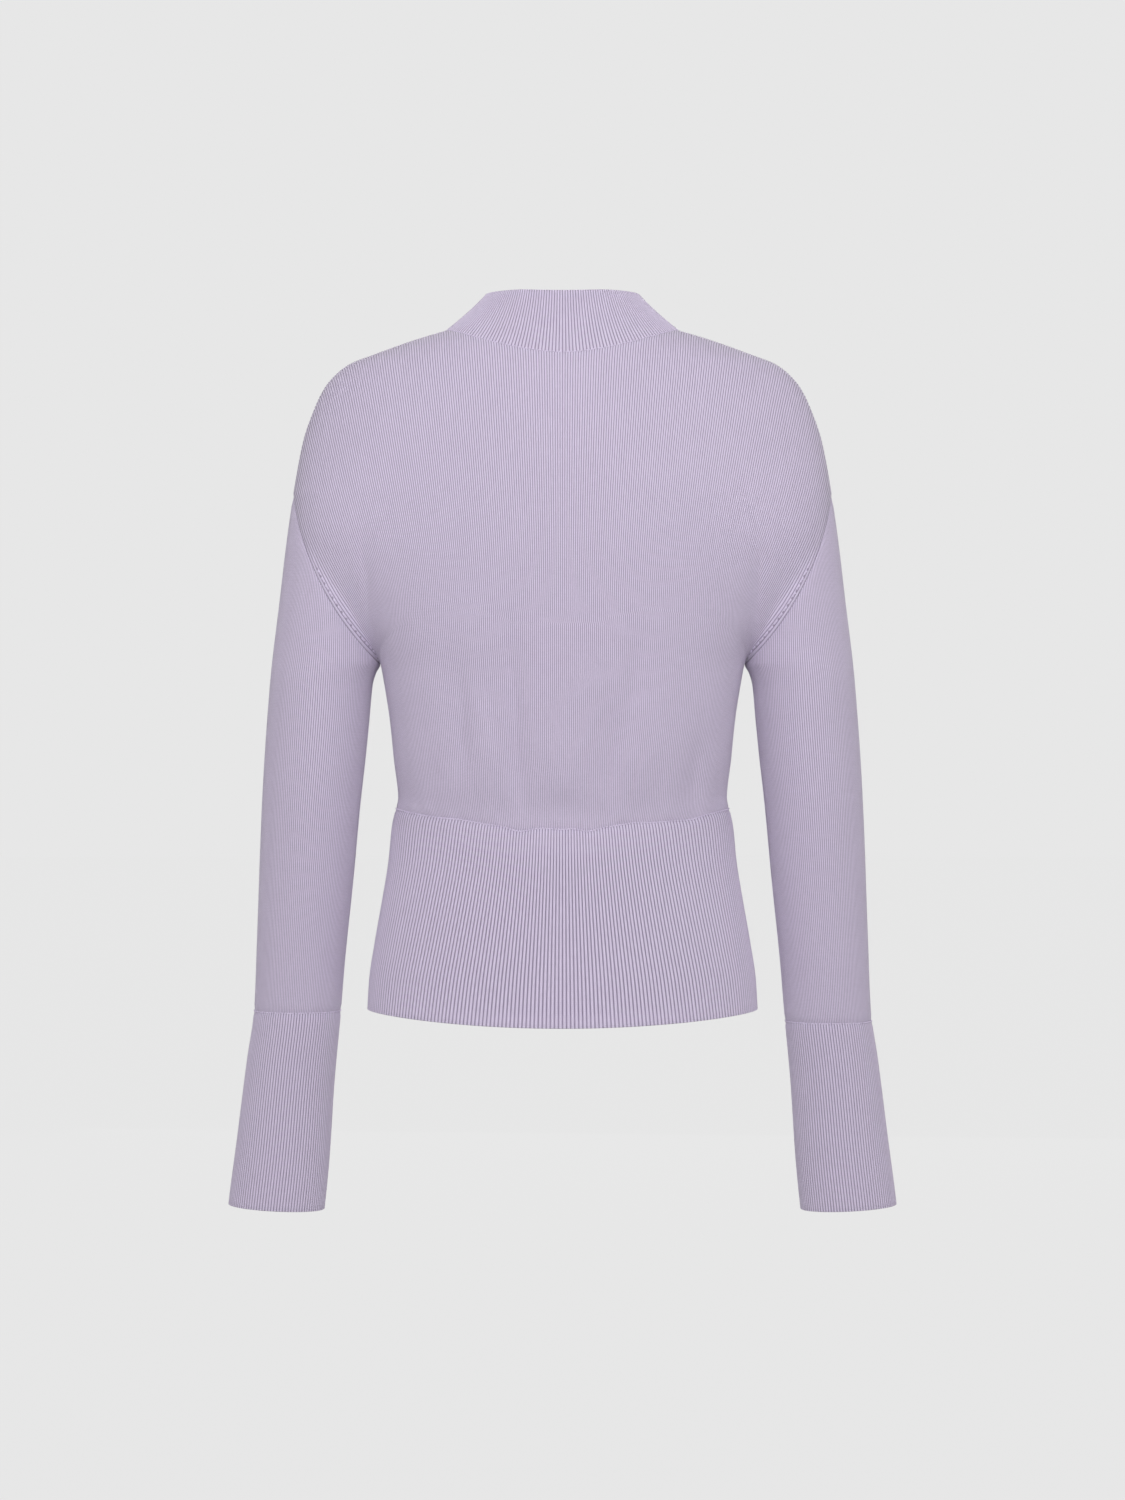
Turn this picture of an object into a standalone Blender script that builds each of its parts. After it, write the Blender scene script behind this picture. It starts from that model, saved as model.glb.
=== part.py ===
"""A fine-gauge rib-knit top: funnel collar, long sleeves with deep cuffs, and a deep flaring waistband.

The cloth keeps the hollow form of a wearer. +Z is up, +Y is the back and +X is the wearer's left. The
origin is midway between the two neck points, where the collar meets the shoulder ridges, which lie in
the plane y = 0 with the side seams. Sizes are in millimetres until a mesh is made. "Drop" is how far a
place lies below the neck points.
"""
from collections import namedtuple

import bpy
import numpy as np

MM = 0.001
LEFT, RIGHT = 1.0, -1.0
BACK, FRONT = "back", "front"

# Driving sizes
WALL = 2.0                  # thickness of the knit
SEAM_GAP = 0.5              # space left between two pieces along their seam
SEAM_PLANE_GAP = 0.35       # how far a panel's side and shoulder edges stop from the plane y = 0
NECK_HALF_WIDTH = 99.0      # from the centre to a neck point
ARMHOLE_TOP_DROP = 139.4    # where the armhole seam crosses the outer silhouette
ARMPIT_DROP = 283.0
ARMHOLE_BOW = 12.0          # how far the armhole seam bends outwards from a straight line
WAIST_SIDE_DROP = 405.5     # waist seam at the side seams
WAIST_DIP = {BACK: 15.0, FRONT: 9.0}      # how much lower the waist seam lies at the centre
HEM_SIDE_DROP = 575.5
HEM_DIP = {BACK: 8.5, FRONT: 6.5}
NECKLINE_DROP = {BACK: 25.0, FRONT: 50.0}  # neckline at the centre of each panel
NECKLINE_CURVE = {BACK: 1.7, FRONT: 2.0}
CUFF_SEAM_DROP = {LEFT: 579.0, RIGHT: 588.0}  # the right cuff is set on a little lower
CUFF_EDGE_OUTER_DROP = 746.5
CUFF_EDGE_INNER_DROP = 751.0

# The collar's open edge, and how far its wall hollows inwards halfway up
RIM_HALF_WIDTH = 64.5
RIM_SIDE_HEIGHT = 32.0
RIM_HEIGHT = {BACK: 29.0, FRONT: 10.0}
RIM_REACH = {BACK: 47.0, FRONT: 63.0}
COLLAR_HOLLOW = 1.5

BRIDGE = 4.0                # exponent that blends the torso with the arm above the armpit

# Mesh density
NECK_STEPS = 6              # columns from the centre to a neck point
SHOULDER_STEPS = 12         # columns along a shoulder ridge
SIDE_ROW_DROPS = [WAIST_SIDE_DROP, 397, 384, 364, 340, 312]  # rows along a side seam, up to the armpit
ARMPIT_CLIMB = 0.33         # how far up the panel the armpit's row lies at the centre
ARMHOLE_ROWS = 10           # rows along half an armhole, which is half of a sleeve's columns
RIDGE_TURN = np.radians(4)  # extra row close to the shoulder ridge, so that the wall's edge stands square
SLEEVE_RINGS = 12
CUFF_RINGS = 5
BAND_ROWS = 5
COLLAR_ROWS = 5
CURVE_SAMPLES = 400

# Half-width of the outer silhouette: shoulder, sleeve and cuff
Silhouette = namedtuple("Silhouette", "drop half_width")
OUTER_EDGE = [
    Silhouette(0, NECK_HALF_WIDTH), Silhouette(8, 126), Silhouette(21, 162.5), Silhouette(28, 180.5),
    Silhouette(35, 190.5), Silhouette(48, 202), Silhouette(69, 212), Silhouette(93, 220),
    Silhouette(127, 226.5), Silhouette(178, 234), Silhouette(229, 240), Silhouette(297, 248),
    Silhouette(399, 255.5), Silhouette(519, 261), Silhouette(579, 264), Silhouette(622, 270.5),
    Silhouette(692, 280), Silhouette(746, 287.5), Silhouette(770, 290),
]
# Half-width of the sleeve's inner silhouette, carried on inside the shoulder above the armpit
INNER_EDGE = [
    Silhouette(60, 116), Silhouette(139, 136), Silhouette(216, 147), Silhouette(250, 151),
    Silhouette(283, 154.6), Silhouette(290, 158.5), Silhouette(300, 161.5), Silhouette(331, 164.5),
    Silhouette(365, 168), Silhouette(399, 172), Silhouette(467, 178.7), Silhouette(536, 186.2),
    Silhouette(579, 190), Silhouette(640, 196), Silhouette(709, 201), Silhouette(770, 207.5),
]
# Half-width of the torso, which meets the outer silhouette at the top of the armhole
TORSO_EDGE = [
    Silhouette(170, 223), Silhouette(195, 210), Silhouette(216, 196), Silhouette(235, 182),
    Silhouette(250, 173), Silhouette(265, 164), Silhouette(275, 158.3), Silhouette(283, 154.3),
    Silhouette(297, 151.5), Silhouette(331, 146.2), Silhouette(365, 142.8), Silhouette(397, 139.4),
    Silhouette(406, 141.5), Silhouette(420, 144.5), Silhouette(450, 147.5), Silhouette(484, 153),
    Silhouette(518, 159), Silhouette(552, 164), Silhouette(600, 166.5),
]
# How far the torso's cloth stands behind and in front of the seam plane, and how square its section is
Depth = namedtuple("Depth", "drop back front squareness")
TORSO_DEPTH = [
    Depth(0, 60, 56, 1.75), Depth(25, 68, 64, 1.75), Depth(50, 77, 76, 1.8), Depth(100, 90, 95, 1.95),
    Depth(150, 97, 109, 2.15), Depth(200, 100, 118, 2.3), Depth(250, 99, 121, 2.35),
    Depth(300, 96, 117, 2.35), Depth(350, 92.5, 110, 2.35), Depth(385, 89.5, 104, 2.35),
    Depth(412, 84, 96, 2.35), Depth(430, 85, 94, 2.35), Depth(470, 91, 95, 2.4),
    Depth(530, 99, 99, 2.4), Depth(595, 106, 103, 2.4),
]
# Half of the arm's depth, and how far the arm's middle lies forward of the seam plane
ArmDepth = namedtuple("ArmDepth", "drop half_depth forward")
ARM_DEPTH = [
    ArmDepth(60, 0, 0), ArmDepth(100, 22, 0), ArmDepth(139, 40, 0), ArmDepth(172, 50, 0),
    ArmDepth(216, 55, 0), ArmDepth(250, 57, 0), ArmDepth(283, 57, 0), ArmDepth(310, 55.5, 1),
    ArmDepth(350, 52.5, 3), ArmDepth(400, 49, 6.5), ArmDepth(450, 45, 11), ArmDepth(510, 40.5, 17),
    ArmDepth(577, 36, 24), ArmDepth(640, 34.5, 31), ArmDepth(770, 35.5, 45),
]
# Rings that lead from the slanted armhole to level ones round the arm; bow fades with the armhole's
SleeveRing = namedtuple("SleeveRing", "outer_drop inner_drop bow")
ARM_RINGS = [
    SleeveRing(181, 290, 9.5), SleeveRing(231, 302, 6), SleeveRing(292, 324, 2), SleeveRing(362, 372, 0),
]
# Soft folds above the waist seam, as troughs in the cloth; across is measured at the waist
FOLD_FADE_IN, FOLD_FADE_OUT = 70.0, 25.0  # lengths over which a fold starts and runs out
Fold = namedtuple("Fold", "across top_drop depth half_width")
FOLDS = {
    BACK: [
        Fold(84, 255, 3.0, 13), Fold(36, 240, 3.5, 12), Fold(-36, 300, 3.0, 12),
        Fold(-61, 250, 2.5, 12), Fold(-112, 330, 3.0, 12),
    ],
    FRONT: [
        Fold(98, 290, 3.0, 13), Fold(52, 270, 3.5, 13), Fold(8, 310, 2.5, 12),
        Fold(-44, 265, 3.5, 13), Fold(-90, 300, 3.0, 12),
    ],
}

LILAC_KNIT = (0.533, 0.466, 0.604, 1.0)
LILAC_RIB = (0.491, 0.426, 0.558, 1.0)
KNIT_ROUGHNESS = 0.9


# ---------------------------------------------------------------- curves

def monotone_curve(knots, values, places):
    """A monotone cubic through the values at the knots, held level past its ends."""
    knots, values = np.array(knots, float), np.array(values, float)
    gaps = np.diff(knots)
    slopes = np.diff(values) / gaps
    product = slopes[:-1] * slopes[1:]
    total = np.where(product > 0, slopes[:-1] + slopes[1:], 1.0)
    tangents = np.concatenate([slopes[:1], np.where(product > 0, 2 * product / total, 0.0), slopes[-1:]])
    places = np.clip(places, knots[0], knots[-1])
    cell = np.clip(np.searchsorted(knots, places) - 1, 0, len(gaps) - 1)
    gap = gaps[cell]
    t = (places - knots[cell]) / gap
    return (
        values[cell] * (1 + 2 * t) * (1 - t) ** 2
        + values[cell + 1] * t * t * (3 - 2 * t)
        + gap * (tangents[cell] * t * (1 - t) ** 2 - tangents[cell + 1] * t * t * (1 - t))
    )


def at_drop(table, column, drop):
    """One column of a table, read smoothly at any drop."""
    return monotone_curve([row.drop for row in table], [getattr(row, column) for row in table], drop)


def ease(value):
    """0 below 0, 1 above 1, and a smooth step between."""
    value = np.clip(value, 0.0, 1.0)
    return value * value * (3 - 2 * value)


def bulge(share, exponent):
    """Height of a rounded section, from 1 at its middle to 0 at its edge."""
    return np.clip(1 - np.abs(share) ** exponent, 0.0, 1.0) ** (1 / exponent)


def outer_edge(drop):
    return at_drop(OUTER_EDGE, "half_width", drop)


def torso_edge(drop):
    """Half-width of the torso, or of the whole shoulder above the armhole."""
    shoulder = [row for row in OUTER_EDGE if row.drop < ARMHOLE_TOP_DROP]
    armhole_top = Silhouette(ARMHOLE_TOP_DROP, float(outer_edge(ARMHOLE_TOP_DROP)))
    return at_drop([*shoulder, armhole_top, *TORSO_EDGE], "half_width", drop)


# ---------------------------------------------------------------- the form of the cloth

def fold_depth(across, drop, side):
    """How deep the soft folds are at a place; each fades out at its top and at the waist seam."""
    depth = np.zeros_like(across)
    for fold in FOLDS[side]:
        width = torso_edge(drop) / torso_edge(WAIST_SIDE_DROP)
        trough = np.exp(-(((across - fold.across * width) / fold.half_width) ** 2))
        fading_in = ease((drop - fold.top_drop) / FOLD_FADE_IN)
        fading_out = ease((WAIST_SIDE_DROP - drop) / FOLD_FADE_OUT)
        depth += fold.depth * trough * fading_in * fading_out
    return depth


def standing(across, drop, side):
    """How far the cloth stands from the seam plane, at a place seen from the front.

    The torso and the arm are both rounded sections, and a power mean bridges the valley between them.
    """
    far = np.abs(across)
    squareness = at_drop(TORSO_DEPTH, "squareness", drop)
    torso = at_drop(TORSO_DEPTH, side, drop) * bulge(far / torso_edge(drop), squareness)
    outer = outer_edge(drop)
    inner = at_drop(INNER_EDGE, "half_width", drop)
    arm_share = (2 * far - outer - inner) / (outer - inner)
    arm = at_drop(ARM_DEPTH, "half_depth", drop) * bulge(arm_share, 2.0)
    return (torso ** BRIDGE + arm ** BRIDGE) ** (1 / BRIDGE) - fold_depth(across, drop, side)


def waist_drop(across, side):
    share = np.clip(np.abs(across) / torso_edge(WAIST_SIDE_DROP), 0, 1)
    return WAIST_SIDE_DROP + WAIST_DIP[side] * (1 - share ** 2)


def hem_drop(across, side):
    share = np.clip(np.abs(across) / torso_edge(HEM_SIDE_DROP), 0, 1)
    return HEM_SIDE_DROP + HEM_DIP[side] * (1 - share ** 2)


def evenly(line, side, steps):
    """The line, as rows of (across, drop), resampled to equal lengths along the cloth."""
    y = standing(line[:, 0], line[:, 1], side)
    lengths = np.linalg.norm(np.diff(np.column_stack([line, y]), axis=0), axis=1)
    travelled = np.concatenate([[0.0], np.cumsum(lengths)])
    wanted = np.linspace(0, travelled[-1], steps + 1)
    return np.column_stack([np.interp(wanted, travelled, line[:, axis]) for axis in (0, 1)])


def quarter_turn():
    return np.sin(np.linspace(0, np.pi / 2, CURVE_SAMPLES))


def waist_line(side, steps):
    """Half of the waist seam, from the centre to the side."""
    across = torso_edge(WAIST_SIDE_DROP) * quarter_turn()
    return evenly(np.column_stack([across, waist_drop(across, side)]), side, steps)


def neckline(side, steps):
    """Half of the neckline, from the centre to the neck point."""
    share = quarter_turn()
    drop = NECKLINE_DROP[side] * (1 - share ** NECKLINE_CURVE[side])
    return evenly(np.column_stack([NECK_HALF_WIDTH * share, drop]), side, steps)


def shoulder_ridge(steps):
    """The shoulder from the neck point to the top of the armhole, along the outer silhouette."""
    drop = np.linspace(0, ARMHOLE_TOP_DROP - SEAM_GAP / 2, CURVE_SAMPLES)
    return evenly(np.column_stack([outer_edge(drop), drop]), BACK, steps)


def armhole(turn, outer_drop, inner_drop, bow):
    """A slanted ring round the arm; turn runs from 0 at its outer end to pi at its inner end."""
    outer_end = np.array([outer_edge(outer_drop), outer_drop])
    inner_end = np.array([at_drop(INNER_EDGE, "half_width", inner_drop), inner_drop])
    middle, reach = (outer_end + inner_end) / 2, (outer_end - inner_end) / 2
    outwards = np.array([-reach[1], reach[0]]) / np.linalg.norm(reach)
    turn = np.asarray(turn)[:, None]
    return middle + np.cos(turn) * reach + bow * np.sin(turn) ** 2 * outwards


def patch(bottom, top, left, right, climb):
    """A four-sided patch between four edges; climb is how far up it each row lies, from 0 to 1."""
    u = np.linspace(0, 1, len(bottom))[None, :, None]
    v = climb[:, None, None]
    ruled_up = (1 - v) * bottom[None] + v * top[None]
    ruled_across = (1 - u) * left[:, None] + u * right[:, None]
    corners = (1 - v) * ((1 - u) * bottom[0] + u * bottom[-1]) + v * ((1 - u) * top[0] + u * top[-1])
    return ruled_up + ruled_across - corners


# ---------------------------------------------------------------- grids of points, for each piece

def both_halves(half):
    """A left half, as rows of (across, drop) from the centre out, with its mirrored right half."""
    mirrored = half[:, :0:-1] * np.array([-1.0, 1.0])
    return np.concatenate([mirrored, half], axis=1)


def in_space(places, side):
    """Lift places of the front view onto the cloth; the seam plane is kept free for the seams."""
    across, drop = places[..., 0], places[..., 1]
    y = np.maximum(standing(across, drop, side), SEAM_PLANE_GAP)
    return np.stack([across, y if side == BACK else -y, -drop], axis=-1)


def body_panel(side):
    """Back or front panel: its outer columns follow the side seams and the armholes."""
    bottom = waist_line(side, NECK_STEPS + SHOULDER_STEPS)
    top = np.concatenate([neckline(side, NECK_STEPS), shoulder_ridge(SHOULDER_STEPS)[1:]])
    side_drops = np.array(SIDE_ROW_DROPS)
    side_seam = np.column_stack([torso_edge(side_drops), side_drops])
    turns = np.insert(np.linspace(np.pi, 0, ARMHOLE_ROWS + 1), ARMHOLE_ROWS, RIDGE_TURN)
    seam = armhole(turns, ARMHOLE_TOP_DROP - SEAM_GAP / 2, ARMPIT_DROP, ARMHOLE_BOW)
    seam[0, 0] = torso_edge(ARMPIT_DROP)
    right = np.concatenate([side_seam, seam])
    below_armpit = ARMPIT_CLIMB * (WAIST_SIDE_DROP - side_drops) / (WAIST_SIDE_DROP - ARMPIT_DROP)
    above_armpit = ARMPIT_CLIMB + (1 - ARMPIT_CLIMB) * np.sin((np.pi - turns) / 2)
    climb = np.concatenate([below_armpit, above_armpit])
    left = np.column_stack([np.zeros(len(climb)), bottom[0, 1] + climb * (top[0, 1] - bottom[0, 1])])
    return in_space(both_halves(patch(bottom, top, left, right, climb)), side)


def waistband(side):
    """Rib band from the waist seam to the hem, its ribs fanning out with the flare."""
    waist = waist_line(side, NECK_STEPS + SHOULDER_STEPS)
    hem_across = waist[:, 0] / torso_edge(WAIST_SIDE_DROP) * torso_edge(HEM_SIDE_DROP)
    hem = np.column_stack([hem_across, hem_drop(hem_across, side)])
    v = np.linspace(0, 1, BAND_ROWS)[:, None, None]
    top = waist + np.array([0.0, SEAM_GAP])
    half = (1 - v) * top + v * hem
    share = half[..., 0] / half[:, -1:, 0]
    half[..., 0] = share * torso_edge(half[..., 1])
    return in_space(both_halves(half), side)[::-1]


def round_arm(ring, hand):
    """A closed ring of points round the arm, back half first."""
    turns = np.linspace(0, np.pi, ARMHOLE_ROWS + 1)
    places = armhole(turns, ring.outer_drop, ring.inner_drop, ring.bow)
    forward = at_drop(ARM_DEPTH, "forward", places[:, 1])
    rows = []
    for side, order in ((BACK, slice(0, -1)), (FRONT, slice(-1, 0, -1))):
        stands = standing(places[:, 0], places[:, 1], side)
        y = (stands if side == BACK else -stands) - forward
        rows.append(np.column_stack([hand * places[:, 0], y, -places[:, 1]])[order])
    return np.concatenate(rows)


def sleeve(hand):
    """Long sleeve from the armhole seam to the cuff seam."""
    seam = CUFF_SEAM_DROP[hand] - SEAM_GAP / 2
    key_rings = [
        SleeveRing(ARMHOLE_TOP_DROP + SEAM_GAP / 2, ARMPIT_DROP + SEAM_GAP, ARMHOLE_BOW + SEAM_GAP),
        *ARM_RINGS,
        SleeveRing(seam, seam, 0),
    ]
    middles = [(ring.outer_drop + ring.inner_drop) / 2 for ring in key_rings]
    wanted = np.linspace(middles[0], middles[-1], SLEEVE_RINGS)
    columns = [monotone_curve(middles, column, wanted) for column in zip(*key_rings)]
    return np.stack([round_arm(SleeveRing(*ring), hand) for ring in zip(*columns)])


def cuff(hand):
    """Deep rib cuff that flares to its open edge."""
    top = CUFF_SEAM_DROP[hand] + SEAM_GAP / 2
    outer = np.linspace(top, CUFF_EDGE_OUTER_DROP, CUFF_RINGS)
    inner = np.linspace(top, CUFF_EDGE_INNER_DROP, CUFF_RINGS)
    return np.stack([round_arm(SleeveRing(o, i, 0.0), hand) for o, i in zip(outer, inner)])


def collar():
    """Funnel collar: a ring on the neckline, leaning in and up to the open neck edge."""
    rings = {}
    for side, sign in ((BACK, 1.0), (FRONT, -1.0)):
        line = neckline(side, NECK_STEPS)
        reach = standing(line[:, 0], line[:, 1], side)
        share = line[:, 0] / NECK_HALF_WIDTH
        base = np.column_stack([line[:, 0], sign * reach, -line[:, 1]])
        turn = np.linspace(0, np.pi / 2, NECK_STEPS + 1)
        height = RIM_SIDE_HEIGHT + (RIM_HEIGHT[side] - RIM_SIDE_HEIGHT) * np.cos(turn) ** 2
        rim = np.column_stack([RIM_HALF_WIDTH * np.sin(turn), sign * RIM_REACH[side] * np.cos(turn), height])
        base[share >= 1, 1] = 0.0
        rings[side] = (base, rim)
    v = np.linspace(0, 1, COLLAR_ROWS)[:, None, None]
    quarters = {side: (1 - v) * base + v * rim for side, (base, rim) in rings.items()}
    flip = np.array([-1.0, 1.0, 1.0])
    back, front = quarters[BACK], quarters[FRONT]
    ring = np.concatenate(
        [back[:, :-1], front[:, :0:-1], (front * flip)[:, :-1], (back * flip)[:, :0:-1]], axis=1
    )
    inwards = ring * np.array([1.0, 1.0, 0.0])
    inwards /= np.linalg.norm(inwards, axis=2, keepdims=True)
    ring = ring - inwards * COLLAR_HOLLOW * 4 * v * (1 - v)
    clear_of_panels = np.array([0.0, 0.0, SEAM_GAP]) * (1 - v)
    return ring + clear_of_panels


# ---------------------------------------------------------------- objects

def knit_material(name, colour):
    material = bpy.data.materials.new(name)
    material.use_nodes = True
    shader = material.node_tree.nodes["Principled BSDF"]
    shader.inputs["Base Color"].default_value = colour
    shader.inputs["Roughness"].default_value = KNIT_ROUGHNESS
    shader.inputs["Metallic"].default_value = 0.0
    return material


def outward(grid, closed):
    """Whether the grid's faces, taken row by row, already turn away from the piece's middle line."""
    rows, columns = grid.shape[:2]
    row, column = rows // 2, (0 if closed else columns // 2)
    here = grid[row, column]
    normal = np.cross(grid[row, (column + 1) % columns] - here, grid[row - 1, column] - here)
    if closed:
        centre = grid[row].mean(axis=0)
    else:
        centre = np.array([0.0, 0.0, here[2]])
    return np.dot(normal, here - centre) < 0


def cloth(name, grid, closed, collection, colour):
    """One piece of cloth: the grid as an open surface, with its wall built inwards by Solidify."""
    rows, columns = grid.shape[:2]
    index = np.arange(rows * columns).reshape(rows, columns)
    if closed:
        index = np.concatenate([index, index[:, :1]], axis=1)
    quads = np.stack([index[:-1, :-1], index[:-1, 1:], index[1:, 1:], index[1:, :-1]], axis=-1).reshape(-1, 4)
    if not outward(grid, closed):
        quads = quads[:, ::-1]
    mesh = bpy.data.meshes.new(name)
    mesh.from_pydata((grid.reshape(-1, 3) * MM).tolist(), [], quads.tolist())
    mesh.shade_smooth()
    mesh.materials.append(knit_material(name + "_knit", colour))
    piece = bpy.data.objects.new(name, mesh)
    collection.objects.link(piece)
    wall = piece.modifiers.new("wall", "SOLIDIFY")
    wall.thickness = WALL * MM
    wall.offset = -1.0
    return piece


def clear_scene():
    for item in list(bpy.data.objects):
        bpy.data.objects.remove(item, do_unlink=True)


def build():
    clear_scene()
    top = bpy.data.collections.new("knit_top")
    bpy.context.scene.collection.children.link(top)
    for side in (BACK, FRONT):
        cloth(f"{side}_panel", body_panel(side), False, top, LILAC_KNIT)
        cloth(f"waistband_{side}", waistband(side), False, top, LILAC_RIB)
    for name, hand in (("left", LEFT), ("right", RIGHT)):
        cloth(f"sleeve_{name}", sleeve(hand), True, top, LILAC_KNIT)
        cloth(f"cuff_{name}", cuff(hand), True, top, LILAC_RIB)
    cloth("collar", collar(), True, top, LILAC_RIB)


build()
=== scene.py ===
import bpy
import numpy as np
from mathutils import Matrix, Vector


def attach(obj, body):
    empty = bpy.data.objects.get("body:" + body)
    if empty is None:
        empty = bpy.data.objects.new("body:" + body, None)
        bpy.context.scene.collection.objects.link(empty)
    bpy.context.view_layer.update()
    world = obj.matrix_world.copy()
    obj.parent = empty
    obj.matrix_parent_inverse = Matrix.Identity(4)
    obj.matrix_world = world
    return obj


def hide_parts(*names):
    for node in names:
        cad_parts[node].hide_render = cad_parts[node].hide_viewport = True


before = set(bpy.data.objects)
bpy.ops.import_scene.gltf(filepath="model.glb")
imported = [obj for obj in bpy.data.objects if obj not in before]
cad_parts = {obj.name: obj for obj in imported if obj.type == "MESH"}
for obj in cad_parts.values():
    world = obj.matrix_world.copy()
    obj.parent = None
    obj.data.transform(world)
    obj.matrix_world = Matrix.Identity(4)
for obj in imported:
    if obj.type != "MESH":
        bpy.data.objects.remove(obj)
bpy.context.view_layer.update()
print("frame loaded:", len(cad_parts), "nodes")

# Shapes are worked out in millimetres. across is the distance from the middle, positive on the
# wearer's left, drop is how far a place lies below the neck points, and +Y is the back.
mm = 0.001
back, front = "back", "front"
left, right = 1.0, -1.0
fineSteps = 400  # points along a line before it is resampled to even lengths

viewpoint = {
    "distance": 3.0,  # metres from the seam plane, behind the back
    "height": -0.356,  # metres, level with the middle of the frame
    "frameHeight": 1.275,  # metres that the upright frame covers at the seam plane
    "sensor": 36.0,
}


def placeCamera(s):
    # the focal length is the sensor's side times the distance over the height that the frame covers
    lens = bpy.data.cameras.new("camera")
    lens.sensor_width = s["sensor"]
    lens.lens = s["sensor"] * s["distance"] / s["frameHeight"]
    camera = bpy.data.objects.new("camera", lens)
    camera.location = (0, s["distance"], s["height"])
    camera.rotation_euler = (np.pi / 2, 0, np.pi)
    bpy.context.scene.collection.objects.link(camera)
    bpy.context.scene.camera = camera


placeCamera(viewpoint)
print("camera placed")


# The form that the cloth keeps, close to the frame's solids. Each table has a row for each drop.
form = {
    # drop, half-width of the whole outline: shoulder, sleeve and cuff
    "outerEdge": [
        (0, 99), (8, 126), (21, 162.5), (28, 180.5), (35, 190.5), (48, 202), (69, 212), (93, 220),
        (127, 226.5), (178, 234), (229, 240), (297, 248), (399, 255.5), (519, 261), (579, 264),
        (622, 270.5), (692, 280), (746, 287.5), (770, 290),
    ],
    # drop, half-width to the sleeve's inner side, carried on inside the shoulder
    "innerEdge": [
        (60, 116), (139, 136), (216, 147), (250, 151), (283, 154.6), (290, 158.5), (300, 161.5),
        (331, 164.5), (365, 168), (399, 172), (467, 178.7), (536, 186.2), (579, 190), (640, 196),
        (709, 201), (770, 207.5),
    ],
    # drop, half-width of the torso below the top of the armhole
    "torsoEdge": [
        (170, 223), (195, 210), (216, 196), (235, 182), (250, 173), (265, 164), (275, 158.3),
        (283, 154.3), (297, 151.5), (331, 146.2), (365, 142.8), (397, 139.4), (406, 141.5),
        (420, 144.5), (450, 147.5), (484, 153), (518, 159), (552, 164), (600, 166.5),
    ],
    # drop, how far the back and the front stand from the seam plane, squareness of the section
    "torsoDepth": [
        (0, 60, 56, 1.75), (25, 68, 64, 1.75), (50, 77, 76, 1.8), (100, 90, 95, 1.95),
        (150, 97, 109, 2.2), (200, 100, 118, 2.4), (250, 100, 121, 2.6), (300, 98, 117, 2.65),
        (350, 93.5, 110, 2.6), (385, 88, 104, 2.45), (412, 83, 96, 2.2), (430, 84.5, 94, 2.05),
        (470, 91, 95, 1.95), (530, 99, 99, 1.95), (595, 106, 103, 1.95),
    ],
    # drop, half of the arm's depth, how far its middle lies forward of the seam plane
    "armDepth": [
        (60, 0, 0), (100, 22, 0), (139, 40, 0), (172, 50, 0), (216, 55, 0), (250, 57, 0),
        (283, 57, 0), (310, 55.5, 1), (350, 52.5, 3), (400, 49, 6.5), (450, 45, 11),
        (510, 40.5, 17), (577, 36, 24), (640, 34.5, 31), (770, 35.5, 45),
    ],
    "bridge": 4.0,  # exponent that blends the torso into the arm
    "neckHalfWidth": 99.0,
    "armholeTop": 139.4,  # drops of the armhole's two ends
    "armpit": 283.0,
    "armholeBow": 12.0,  # how far the armhole bends outwards from a straight line
    "necklineDrop": {back: 25.0, front: 50.0},
    "necklineCurve": {back: 1.7, front: 2.0},
    "foldBend": 2.0,  # how far a fold's line bends to one side halfway along
    "foldFadeIn": 0.5,  # shares of a fold's length over which it fades in and out
    "foldFadeOut": 0.25,
    "foldClear": 12.0,  # distance from the seam plane at which folds reach their full depth
    "waistSide": 405.5,
    "waistDip": {back: 15.0, front: 9.0},
    "waveRise": 6.0,  # the seam's waves fade out over the last sixth of its half-width
    "hemSide": 575.5,
    "hemDip": {back: 8.5, front: 6.5},
    "cuffSeam": {left: 579.0, right: 588.0},
    "cuffOuter": 746.5,
    "cuffInner": 751.0,
    "seamGap": 0.1,  # between two pieces along their seam
    "seamPlaneGap": 0.05,  # between each panel and the plane of the side seams
}

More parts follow.
